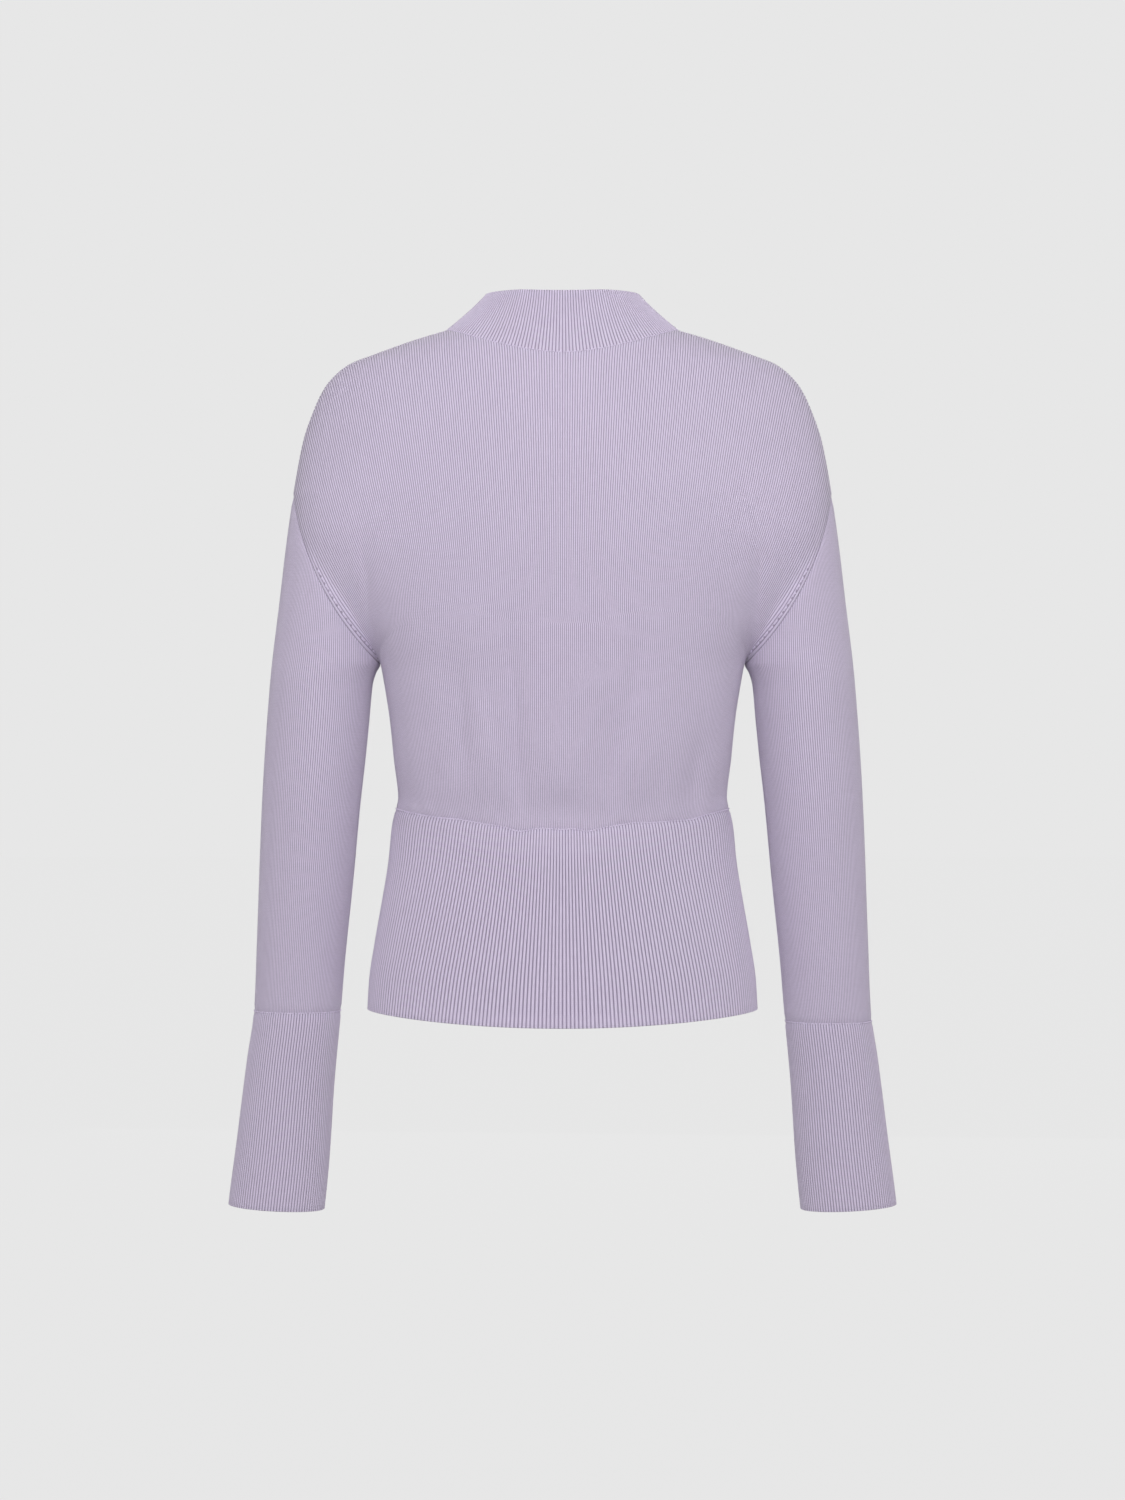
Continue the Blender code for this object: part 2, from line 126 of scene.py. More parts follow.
# Soft folds are troughs in the cloth, or swellings where the depth is negative. Each row has
# across at its top, across at its foot, drop of its top, drop of its foot, depth, half-width
folds = {
    back: [
        (95, 84, 235, 400, 3.0, 13), (45, 36, 215, 406, 3.6, 12), (66, 60, 275, 330, 1.3, 9),
        (-44, -36, 280, 404, 3.0, 11), (-66, -61, 235, 330, 2.5, 12), (-58, -48, 300, 370, 1.6, 10),
        (-118, -108, 330, 402, 3.0, 12), (3, 0, 330, 404, -2.2, 15), (112, 106, 310, 396, 1.6, 10),
        (-84, -80, 350, 403, 1.2, 7), (14, 12, 345, 404, 1.0, 6), (40, 34, 235, 420, 2.4, 7),
        (85, 79, 250, 385, 2.0, 6.5), (59, 56, 262, 360, 1.8, 6), (-64, -57, 250, 365, 1.9, 6.5),
        (-50, -41, 300, 415, 2.0, 7), (-116, -108, 335, 412, 1.9, 7),
    ],
    front: [
        (110, 98, 270, 402, 3.0, 13), (60, 52, 255, 404, 3.5, 13), (10, 8, 300, 405, 2.5, 12),
        (-50, -44, 250, 405, 3.5, 13), (-101, -90, 285, 402, 3.0, 12), (32, 29, 330, 403, -1.8, 13),
        (-24, -20, 345, 404, 1.2, 8), (82, 76, 340, 401, 1.3, 8), (-122, -113, 325, 400, 1.5, 9),
        (-54, -46, 262, 412, 2.4, 7), (57, 51, 268, 405, 2.2, 7), (12, 8, 315, 410, 1.8, 6.5),
        (-98, -92, 300, 408, 1.9, 7), (104, 98, 300, 400, 2.0, 7),
    ],
}

# Creases that run up from each armpit, on both sides of the body and of the garment. Each row has
# across at the top, across at the foot, drop of the top, drop of the foot, depth, half-width
armpitCreases = [
    (166, 156, 150, 300, 3.4, 6), (148, 155, 205, 292, 1.6, 6), (184, 166, 190, 290, 1.2, 8),
]

# Small waves in the waist seam: across, half-width, how much lower it lies there
waistWaves = {
    back: [(35, 11, 3.4), (-21, 9, 2.8), (-58, 14, -1.8), (84, 16, -1.6), (2, 8, 1.0), (-104, 12, 1.6)],
    front: [(28, 12, 2.8), (-34, 11, 3.0), (66, 14, -1.8), (-80, 15, -1.6), (104, 12, 1.5)],
}


def curveThrough(knots, values, places):
    # a cubic through the values at the knots that never overshoots, as each of its tangents is the
    # harmonic mean of the slopes on both sides, level past its ends
    knots, values = np.array(knots, float), np.array(values, float)
    gaps = np.diff(knots)
    slopes = np.diff(values) / gaps
    product = slopes[:-1] * slopes[1:]
    total = np.where(product > 0, slopes[:-1] + slopes[1:], 1.0)
    tangents = np.concatenate([slopes[:1], np.where(product > 0, 2 * product / total, 0.0), slopes[-1:]])
    places = np.clip(places, knots[0], knots[-1])
    cell = np.clip(np.searchsorted(knots, places) - 1, 0, len(gaps) - 1)
    gap = gaps[cell]
    t = (places - knots[cell]) / gap
    ends = values[cell] * (1 + 2 * t) * (1 - t) ** 2 + values[cell + 1] * t * t * (3 - 2 * t)
    return ends + gap * (tangents[cell] * t * (1 - t) ** 2 - tangents[cell + 1] * t * t * (1 - t))


def atDrop(table, column, drop):
    # the cubic through one column of a table of the form, read at the given drops
    rows = np.array(form[table], float)
    return curveThrough(rows[:, 0], rows[:, column], drop)


def ease(value):
    # t^2 (3 - 2 t), t being the value held between 0 and 1
    value = np.clip(value, 0.0, 1.0)
    return value * value * (3 - 2 * value)


def bulge(share, exponent):
    # height of a rounded section, (1 - |share|^n)^(1/n): 1 at its middle and 0 at its edge
    return np.clip(1 - np.abs(share) ** exponent, 0.0, 1.0) ** (1 / exponent)


def outerEdge(drop):
    # the cubic through the half-widths of the whole outline
    return atDrop("outerEdge", 1, drop)


def torsoEdge(drop):
    # the shoulder's outline down to the top of the armhole, then the torso's own
    top = form["armholeTop"]
    rows = np.array([(top, outerEdge(top)), *form["torsoEdge"]], float)
    below = curveThrough(rows[:, 0], rows[:, 1], drop)
    return np.where(np.asarray(drop) <= top, outerEdge(drop), below)


def troughs(table, across, drop):
    # each fold is a bell exp(-d^2), d being the distance from its line in half-widths. The line
    # bends a little to one side halfway along, and the fold fades in at its top and out at its foot.
    depth = np.zeros_like(across)
    for acrossTop, acrossFoot, top, foot, deep, halfWidth in table:
        along = (drop - top) / (foot - top)
        line = acrossTop + (acrossFoot - acrossTop) * along + form["foldBend"] * np.sin(np.pi * along)
        bell = np.exp(-(((across - line) / halfWidth) ** 2))
        depth += deep * bell * ease(along / form["foldFadeIn"]) * ease((1 - along) / form["foldFadeOut"])
    return depth


def standing(across, drop, side):
    # how far the cloth stands from the seam plane: a rounded torso and a rounded arm, joined as
    # (torso^n + arm^n)^(1/n), less the folds
    far = np.abs(across)
    depthColumn = 1 if side == back else 2
    torso = bulge(far / torsoEdge(drop), atDrop("torsoDepth", 3, drop))
    torso *= atDrop("torsoDepth", depthColumn, drop)
    outer, inner = outerEdge(drop), atDrop("innerEdge", 1, drop)
    arm = atDrop("armDepth", 1, drop) * bulge((2 * far - outer - inner) / (outer - inner), 2.0)
    joined = (torso ** form["bridge"] + arm ** form["bridge"]) ** (1 / form["bridge"])
    inFolds = troughs(folds[side], across, drop) + troughs(armpitCreases, far, drop)
    return joined - inFolds * ease(joined / form["foldClear"])


def waistDrop(across, side):
    # the waist seam: a parabola that is lowest in the middle, and a bell for each small wave
    share = np.clip(np.abs(across) / torsoEdge(form["waistSide"]), 0, 1)
    waves = np.zeros_like(share)
    for middle, halfWidth, low in waistWaves[side]:
        waves += low * np.exp(-(((across - middle) / halfWidth) ** 2))
    dip = form["waistDip"][side] * (1 - share**2)
    return form["waistSide"] + dip + waves * ease((1 - share) * form["waveRise"])


def hemDrop(across, side):
    # the hem: a parabola that is lowest in the middle
    share = np.clip(np.abs(across) / torsoEdge(form["hemSide"]), 0, 1)
    return form["hemSide"] + form["hemDip"][side] * (1 - share**2)


def evenly(line, side, steps):
    # the line, rows of (across, drop), resampled to equal lengths along the cloth
    y = standing(line[:, 0], line[:, 1], side)
    lengths = np.linalg.norm(np.diff(np.column_stack([line, y]), axis=0), axis=1)
    travelled = np.concatenate([[0.0], np.cumsum(lengths)])
    wanted = np.linspace(0, travelled[-1], steps + 1)
    return np.column_stack([np.interp(wanted, travelled, line[:, axis]) for axis in (0, 1)])


def halfTurn():
    # the sine of half a turn, from -1 to 1, with its points close together at both ends
    return np.sin(np.linspace(-np.pi / 2, np.pi / 2, 2 * fineSteps))


def armhole(turn, outerDrop, innerDrop, bow):
    # a slanted ring round the arm: middle + cos(turn) reach + bow sin(turn)^2 outwards, where the
    # turn is 0 at the outer end and pi at the inner end
    outerEnd = np.stack([outerEdge(outerDrop), outerDrop], axis=-1)
    innerEnd = np.stack([atDrop("innerEdge", 1, innerDrop), innerDrop], axis=-1)
    middle, reach = (outerEnd + innerEnd) / 2, (outerEnd - innerEnd) / 2
    outwards = np.stack([-reach[..., 1], reach[..., 0]], axis=-1)
    outwards /= np.linalg.norm(outwards, axis=-1, keepdims=True)
    turn, bow = np.asarray(turn)[..., None], np.asarray(bow)[..., None]
    return middle + np.cos(turn) * reach + bow * np.sin(turn) ** 2 * outwards


# Cloth: a grid of points with a rib for every few columns becomes a closed wall of knit.
cloth = {
    "wall": 1.3,  # thickness
    "innerRows": 4,  # the inner face has one row for this many outer ones
    "closeRows": 32,  # it has one for every two of the first ones, by the seam with the gathers
    "edgeTurns": [0.25, 0.5, 0.75],  # where the rounded edge has rows, as shares of its half turn
    "innerRelief": 0.6,  # share of the ribs' relief that the inner face shows
    "crestShape": 1.7,  # exponent of a rib's section: above 1 the crest is broad, the groove narrow
    "leastRelief": 0.3,  # share of their relief that ribs keep where they are drawn together
    "sharpAngle": 85.0,  # degrees from which an edge is shaded sharp
}


def alongGrid(points, axis, closed):
    # central differences along one way of the grid, round the back where it is closed
    if closed:
        return np.roll(points, -1, axis) - np.roll(points, 1, axis)
    return np.gradient(points, axis=axis)


def outwardNormals(points, closed):
    # cross product of the grid's two directions, turned away from the middle line of the piece
    normals = np.cross(alongGrid(points, 1, closed), alongGrid(points, 0, False))
    normals /= np.maximum(np.linalg.norm(normals, axis=2, keepdims=True), 1e-9)
    middle = points.mean(axis=1, keepdims=True) if closed else points * np.array([0.0, 0.0, 1.0])
    return normals if np.sum(normals * (points - middle)) > 0 else -normals


def ribRelief(points, closed, s):
    # 1/2 - d^n, d being 0 on a rib's crest and 1 in the groove, less deep where the ribs are drawn
    # together: their pitch is the step between columns, measured square to the ribs
    fromCrest = np.abs(2 * (np.arange(points.shape[1]) / s["pointsPerRib"] % 1.0) - 1)
    ribWay = alongGrid(points, 0, False)
    ribWay /= np.linalg.norm(ribWay, axis=2, keepdims=True)
    steps = alongGrid(points, 1, closed)
    steps -= ribWay * np.sum(steps * ribWay, axis=2, keepdims=True)
    pitch = np.linalg.norm(steps, axis=2) * s["pointsPerRib"] / 2
    if not closed:
        pitch *= 2  # gradient already halves its differences
    openness = np.clip(pitch / s["openPitch"], cloth["leastRelief"], 1.0)
    return s["ribDepth"] * openness * (0.5 - fromCrest ** cloth["crestShape"])


def roundedEdge(turns, out, edge, away, lip, top, bottom):
    # half an ellipse from the outer face over the lip to the inner face:
    # edge + (middle + half cos) out + lip sin away, for each share of the half turn
    middle, half = (top + bottom) / 2, (top - bottom) / 2
    angles = np.pi * np.array(turns)[:, None]
    heights = middle + half * np.cos(angles)
    return edge + out * heights[..., None] + away * (lip * np.sin(angles))[..., None]


def keptRows(rows):
    # the outer rows that have an inner row behind them: close together at first, then further apart
    close = np.arange(0, min(cloth["closeRows"], rows - cloth["innerRows"]), 2)
    spread = np.linspace(close[-1] + 2, rows - 1, (rows - close[-1]) // cloth["innerRows"] + 1)
    return np.unique(np.concatenate([close, np.round(spread).astype(int)]))


def knitShell(name, points, relief, closed, s, material, stitches=()):
    # The wall's section carried along the grid: the outer face, a rounded edge, the inner face
    # backwards, and a rounded edge back to the start. Open sides are capped, one strip for each
    # inner row. The UV map counts ribs across and courses along. Faces start one corner later on
    # the wearer's right, so that both halves are split the same way.
    rows, columns = points.shape[:2]
    out = outwardNormals(points, closed)
    outer = points + out * relief[..., None]
    floorHeight = cloth["innerRelief"] * relief - cloth["wall"]
    kept = keptRows(rows)
    inner = (points + out * floorHeight[..., None])[kept]
    edges = []
    for row, inwards, lip, turns in (
        (0, 1, s["lips"][0], cloth["edgeTurns"][::-1]),
        (rows - 1, rows - 2, s["lips"][1], cloth["edgeTurns"]),
    ):
        away = points[row] - points[inwards]
        away /= np.linalg.norm(away, axis=1, keepdims=True)
        edges.append(roundedEdge(turns, out[row], points[row], away, lip, relief[row], floorHeight[row]))
    section = np.concatenate([outer, edges[1], inner[::-1], edges[0]])
    loopRows = len(section)

    cellColumns = columns if closed else columns - 1
    r, c = np.meshgrid(np.arange(loopRows), np.arange(cellColumns), indexing="ij")
    cornerRow = np.stack([r, r, r + 1, r + 1], axis=-1).reshape(-1, 4)
    cornerColumn = np.stack([c, c + 1, c + 1, c], axis=-1).reshape(-1, 4)
    steps = np.diff(section, axis=0, append=section[:1])
    lengths = np.concatenate([np.zeros((1, columns)), np.cumsum(np.linalg.norm(steps, axis=2), axis=0)])
    lengths = np.concatenate([lengths, lengths[:, :1]], axis=1)
    faces = (cornerRow % loopRows) * columns + cornerColumn % columns
    courses = lengths[cornerRow, cornerColumn] / s["course"]
    uv = np.stack([cornerColumn / s["pointsPerRib"], courses], axis=-1)
    mirrored = section.reshape(-1, 3)[faces, 0].mean(axis=1) < 0
    faces[mirrored] = np.roll(faces[mirrored], 1, axis=1)
    uv[mirrored] = np.roll(uv[mirrored], 1, axis=1)
    faceLists = [faces]
    uvs = [uv]
    if not closed:
        caps = capStrips(rows, kept, loopRows, len(cloth["edgeTurns"]))
        for column, order in ((0, 1), (columns - 1, -1)):
            for strip in caps:
                turned = np.array(strip[::order])
                faceLists.append((turned % loopRows * columns + column)[None])
                u = np.full(len(turned), column / s["pointsPerRib"])
                uvs.append(np.stack([u, lengths[turned, column] / s["course"]], axis=-1)[None])
    parts = [section.reshape(-1, 3)]
    # each bead's colour comes from its place across a rib: pale yarn, or the grooves' painted shade
    for beads, yarnAndShade in stitches:
        firsts = sum(len(part) for part in parts)
        firsts = firsts + np.arange(len(beads))[:, None, None] * len(beadShape)
        for corners in (beadRings, beadEnds):
            faceLists.append((firsts + corners).reshape(-1, corners.shape[1]))
            uvs.append(np.broadcast_to([yarnAndShade, 0.5], (*faceLists[-1].shape, 2)))
        parts.append(beads.reshape(-1, 3))
    return makeMesh(name, np.concatenate(parts), faceLists, uvs, material)


def capStrips(rows, kept, loopRows, edgeRows):
    # rows of the section that bound each strip of an end cap: between two inner rows, and at each
    # edge. The inner face starts after the outer rows and the edge, and runs backwards.
    lastInner = rows + edgeRows + len(kept) - 1
    innerRow = lastInner - np.arange(len(kept))
    strips = [
        [*range(kept[i], kept[i + 1] + 1), innerRow[i + 1], innerRow[i]] for i in range(len(kept) - 1)
    ]
    strips.append([*range(rows - 1, rows + edgeRows + 1)])
    strips.append([*range(lastInner, loopRows + 1)])
    return strips


def makeMesh(name, points, faceLists, uvs, material):
    # the mesh in metres, with its faces turned outwards
    mesh = bpy.data.meshes.new(name)
    faces = [face for part in faceLists for face in part.tolist()]
    mesh.from_pydata((points * mm).tolist(), [], faces)
    uvLayer = mesh.uv_layers.new(name="knit")
    flatUvs = np.concatenate([part.reshape(-1, 2) for part in uvs])
    uvLayer.data.foreach_set("uv", flatUvs.astype(np.float32).ravel())
    a, b, d = (points[faceLists[0][:, i]] for i in range(3))
    if np.sum(np.cross(b - a, d - a) * a) < 0:  # the signed volume tells which way the faces turn
        mesh.flip_normals()
    mesh.shade_smooth()
    mesh.set_sharp_from_angle(angle=np.radians(cloth["sharpAngle"]))
    mesh.materials.append(material)
    piece = bpy.data.objects.new(name, mesh)
    bpy.context.scene.collection.objects.link(piece)
    print(name, "made,", len(faces), "faces")
    return piece


# A stitch is a small closed bead, 1 long, wide and high before it gets its size: two rings of six
# points and two ends, each point given along, across and out.
# Its place across a rib gives it the yarn's pale crest colour or the grooves' painted shade.
pale, paintedShade = 0.5, 0.1
ringTurns = np.arange(6) * np.pi / 3
ringPoints = [(end, np.cos(turn), np.sin(turn)) for end in (-0.5, 0.5) for turn in ringTurns]
beadShape = np.array([*ringPoints, (-1, 0, 0), (1, 0, 0)]) * 0.5
beadRings = np.array([(i, (i + 1) % 6, (i + 1) % 6 + 6, i + 6) for i in range(6)])
nearEnd = [(i, 12, (i + 1) % 6) for i in range(6)]
farEnd = [(i + 6, (i + 1) % 6 + 6, 13) for i in range(6)]
beadEnds = np.array(nearEnd + farEnd)
nearby = 0.5  # half of the stretch of line that gives a stitch its direction


def stitchRow(line, out, size, pitch, lean, lift, start=0.5):
    # beads evenly spaced along a line on the cloth, each turned a little to alternate sides
    travelled = np.concatenate([[0.0], np.cumsum(np.linalg.norm(np.diff(line, axis=0), axis=1))])
    wanted = np.arange(pitch * start, travelled[-1] - nearby, pitch)

    def at(values, places):
        return np.column_stack([np.interp(places, travelled, values[:, axis]) for axis in range(3)])

    along = at(line, wanted + nearby) - at(line, wanted - nearby)
    turn = np.radians(lean) * (-1.0) ** np.arange(len(wanted))
    return beadsAt(at(line, wanted), along, at(out, wanted), size, turn[:, None], lift)


def beadsAt(middles, along, out, size, turn, lift):
    # each bead's frame: along the line, out of the cloth and across, turned about the way out
    out = out / np.linalg.norm(out, axis=1, keepdims=True)
    along = along - out * np.sum(along * out, axis=1, keepdims=True)
    along /= np.linalg.norm(along, axis=1, keepdims=True)
    across = np.cross(out, along)
    turned = np.cos(turn) * along + np.sin(turn) * across
    sideways = np.cos(turn) * across - np.sin(turn) * along
    frames = np.stack([turned * size[0], sideways * size[1], out * size[2]], axis=1)
    return (middles + out * lift)[:, None] + np.einsum("pk,nkx->npx", beadShape, frames)


def areaOf(points, closed):
    # area of the smooth grid in square metres: the sum of |across x down| over its cells
    if closed:
        points = np.concatenate([points, points[:, :1]], axis=1)
    across = points[:-1, 1:] - points[:-1, :-1]
    down = points[1:, :-1] - points[:-1, :-1]
    return float(np.linalg.norm(np.cross(across, down), axis=2).sum()) * mm * mm


def lie(piece, node, area):
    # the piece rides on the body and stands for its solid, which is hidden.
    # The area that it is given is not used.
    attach(piece, "root")
    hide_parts(node)


# Materials: a value that travels through the nodes, and a material that adds any other node.
class Value:
    def __init__(self, maker, socket):
        self.maker = maker
        self.socket = socket

    def math(self, operation, *others):
        return self.maker.node("ShaderNodeMath", {"operation": operation}, [self, *others])

    def __add__(self, other):
        return self.math("ADD", other)

    __radd__ = __add__

    def __mul__(self, other):
        return self.math("MULTIPLY", other)

    __rmul__ = __mul__

    def __sub__(self, other):
        return self.math("SUBTRACT", other)

    def __rsub__(self, other):
        return self.maker.node("ShaderNodeMath", {"operation": "SUBTRACT"}, [other, self])

    def __abs__(self):
        return self.math("ABSOLUTE")


class Finish:
    def __init__(self, name):
        self.material = bpy.data.materials.new(name)
        self.material.use_nodes = True
        self.tree = self.material.node_tree
        self.surface = self.tree.nodes["Principled BSDF"]

    def node(self, kind, settings, sockets, output=0):
        # settings are set first, then each socket gets its link or its plain value
        made = self.tree.nodes.new(kind)
        for key, value in settings.items():
            setattr(made, key, value)
        named = sockets.items() if isinstance(sockets, dict) else enumerate(sockets)
        for key, value in named:
            self.feed(made.inputs[key], value)
        return Value(self, made.outputs[output])

    def feed(self, socket, value):
        if isinstance(value, Value):
            self.tree.links.new(value.socket, socket)
        else:
            socket.default_value = value


knitLook = {
    "roughness": 0.86,
    "sheen": 0.3,
    "sheenRoughness": 0.5,
    "specular": 0.25,
    "grooveStart": 0.4,  # where a groove's painted shade starts, as a share of the way from crest to groove
    "grooveHeight": 0.6,  # how far the bump sinks in a groove, as a share of a stitch's height
    "stitchLean": 0.75,  # how far each leg of a stitch climbs, in courses
    "stitchHeight": 0.22,  # millimetres that a stitch stands up
    "shadeBetweenStitches": 0.16,  # painted shade: how much darker the colour gets where two stitches meet
    "melange": 0.05,  # uneven dye along the yarn
    "dyeScale": 260.0,  # waves of the fine noise in a metre
    "patchScale": 9.0,  # and of the broad one
    "fuzz": 0.25,  # share of a stitch's height by which single fibres stand up
    "bump": 0.7,  # strength
}


def knitFinish(name, colour, grooveShadeColour, grooveShade, s):
    # Each rib is a column of V-shaped stitches: the course number plus the distance from the crest
    # makes the V, and its sine makes each loop. Colour is darkened into the grooves and between
    # loops as painted shade.
    finish = Finish(name)
    uv = finish.node("ShaderNodeUVMap", {"uv_map": "knit"}, [])
    ribs = finish.node("ShaderNodeSeparateXYZ", {}, [uv])
    courses = finish.node("ShaderNodeSeparateXYZ", {}, [uv], output=1)
    fromCrest = abs(ribs.math("FRACT") * 2 - 1)
    loop = abs(((courses + fromCrest * s["stitchLean"]) * np.pi).math("SINE"))
    groove = finish.node(
        "ShaderNodeMapRange", {"interpolation_type": "SMOOTHSTEP"},
        [fromCrest, s["grooveStart"], 1.0, 0.0, 1.0],
    )
    place = finish.node("ShaderNodeTexCoord", {}, [], output=3)
    fine = {"Vector": place, "Scale": s["dyeScale"], "Detail": 3.0}
    dye = finish.node("ShaderNodeTexNoise", {}, fine)
    broad = {"Vector": place, "Scale": s["patchScale"], "Detail": 2.0}
    patch = finish.node("ShaderNodeTexNoise", {}, broad)
    # painted shade in the grooves and between loops, plus uneven dye
    shadeAndDye = groove * grooveShade + (1 - loop) * s["shadeBetweenStitches"] * (1 - groove)
    shadeAndDye = shadeAndDye + (dye - 0.5) * (2 * s["melange"]) + (patch - 0.5) * s["melange"]
    # the crest colour mixed towards the grooves' painted shade colour
    dyedAndShadedColour = finish.node(
        "ShaderNodeMix", {"data_type": "RGBA", "clamp_factor": True},
        {0: shadeAndDye, 6: (*colour, 1.0), 7: (*grooveShadeColour, 1.0)}, output=2,
    )
    height = loop * (1 - groove) - groove * s["grooveHeight"] + (dye - 0.5) * s["fuzz"]
    bump = finish.node(
        "ShaderNodeBump", {},
        {"Strength": s["bump"], "Distance": s["stitchHeight"] * mm, "Height": height},
    )
    finish.feed(finish.surface.inputs["Base Color"], dyedAndShadedColour)
    finish.feed(finish.surface.inputs["Normal"], bump)
    finish.surface.inputs["Roughness"].default_value = s["roughness"]
    finish.surface.inputs["Specular IOR Level"].default_value = s["specular"]
    finish.surface.inputs["Sheen Weight"].default_value = s["sheen"]
    finish.surface.inputs["Sheen Roughness"].default_value = s["sheenRoughness"]
    return finish.material


lilac = (0.70, 0.62, 0.79)  # on the crests
lilacGrooveShade = (0.15, 0.115, 0.20)  # painted shade deep in the grooves
fineShade, deepShade = 0.75, 0.78  # how far the painted shade darkens the grooves of fine and of deep ribs
bodyKnit = knitFinish("bodyKnit", lilac, lilacGrooveShade, fineShade, knitLook)
ribKnit = knitFinish("ribKnit", lilac, lilacGrooveShade, deepShade, knitLook)
print("materials made")


# Back and front panels
panel = {
    # together they are the ribs of each half, and they share out the points of its top edge
    "neckRibs": 47,
    "shoulderRibs": 75,
    "pointsPerRib": 3,
    "ribDepth": 0.65,
    "openPitch": 2.4,  # distance between ribs at which they reach their full depth
    "course": 1.25,  # height of one row of stitches
    "rowsBelowArmpit": 26,
    "rowsAboveArmpit": 62,
    "rowSpread": 1.2,  # exponent that brings the first rows closer to the waist seam
    "armpitClimb": 0.33,  # how far up the middle the armpit's row lies
    "lips": (0.5, 0.1),  # how far the rounded edges reach past the first and the last row
    "seamRoll": 0.8,  # how far the edges sink at a seam
    "seamRollWidth": 1.6,
    "ridgeRoll": 0.6,  # share of that sinking along the shoulder ridge and the neckline
    "ridgeRelief": 0.15,  # share of the ribs' relief left there
    "ridgeFade": 4.0,  # distance over which it comes back
    "lean": 0.1,  # degrees by which the ribs lean outwards for each millimetre from the middle
    "mostLean": 30.0,
    "ribBlend": 14.0,  # rows over which a change in the cloth's width spreads along its ribs
    "markPitch": 7.0,  # fashioning marks beside the lower armhole
    "markInset": 5.0,
    "markStart": 2,  # rows above the armpit
    "markRows": 0.55,  # share of the armhole that has them, from the armpit
    "markSize": (2.6, 1.5, 1.0),  # a stitch's length, width and height
    "markLean": 12.0,
    "marks": [(pale, 0.5, 0.35), (paintedShade, 0.85, 0.1)],  # colour (pale yarn, and the grooves' painted shade for the dip), start as a share of the pitch, lift
    "seamStitch": (2.8, 0.8, 0.6),  # beads painted in the grooves' shade along the armhole seam, standing in for the seam's shade
    "seamPitch": 2.3,
    "seamLift": -0.6,
    "gather": 0.48,  # height of the small gathers above the waist seam
    "gatherReach": 16.0,
    "gatherStart": 3.0,  # distances from the waist seam and the side seams at which they are full
    "gatherSide": 30.0,
    # ripples of the gathers: height, length, how much it wanders, and over what length
    "ripples": [(1.0, 2.9, 1.3, 17.0), (0.7, 5.3, 2.0, 31.0)],
    "cut": (0.54, 0.44),
}


def shoulderLine(steps):
    # the outline from the neck point to the top of the armhole, in even lengths
    drop = np.linspace(0, form["armholeTop"] - form["seamGap"] / 2, 2 * fineSteps)
    return evenly(np.column_stack([outerEdge(drop), drop]), back, steps)


def neckline(side, steps):
    # half of the neckline: its drop is 1 - share^n of its deepest, n being its curve
    share = np.sin(np.linspace(0, np.pi / 2, fineSteps))
    drop = form["necklineDrop"][side] * (1 - share ** form["necklineCurve"][side])
    return evenly(np.column_stack([form["neckHalfWidth"] * share, drop]), side, steps)


def panelPlaces(side, s):
    # a Coons patch: rows ruled between waist and shoulder, plus columns ruled between the two side
    # edges, less the surface ruled between the four corners
    perRib = s["pointsPerRib"]
    ribs = s["neckRibs"] + s["shoulderRibs"]
    waist = torsoEdge(form["waistSide"]) * halfTurn()
    bottom = evenly(np.column_stack([waist, waistDrop(waist, side)]), side, 2 * ribs * perRib)
    shoulder = shoulderLine(s["shoulderRibs"] * perRib)
    half = np.concatenate([neckline(side, s["neckRibs"] * perRib), shoulder[1:]])
    top = np.concatenate([half[:0:-1] * np.array([-1.0, 1.0]), half])
    below = np.linspace(0, 1, s["rowsBelowArmpit"], endpoint=False) ** s["rowSpread"]
    above = np.linspace(0, 1, s["rowsAboveArmpit"] + 1)
    sideDrop = form["waistSide"] + (form["armpit"] - form["waistSide"]) * below
    sideSeam = np.column_stack([torsoEdge(sideDrop), sideDrop])
    armholeTop = form["armholeTop"] - form["seamGap"] / 2
    seam = armhole(np.pi * (1 - above), armholeTop, form["armpit"], form["armholeBow"])
    seam[0, 0] = torsoEdge(form["armpit"])
    leftEdge = np.concatenate([sideSeam, seam])
    low = s["armpitClimb"]
    climb = np.concatenate([low * below, low + (1 - low) * np.sin(above * np.pi / 2)])
    u = np.linspace(0, 1, len(bottom))[None, :, None]
    v = climb[:, None, None]
    rightEdge = leftEdge * np.array([-1.0, 1.0])
    corners = (1 - v) * ((1 - u) * bottom[0] + u * bottom[-1]) + v * ((1 - u) * top[0] + u * top[-1])
    ruled = (1 - v) * bottom[None] + v * top[None] + (1 - u) * rightEdge[:, None] + u * leftEdge[:, None]
    return spreadRibs(ruled - corners, side, s)


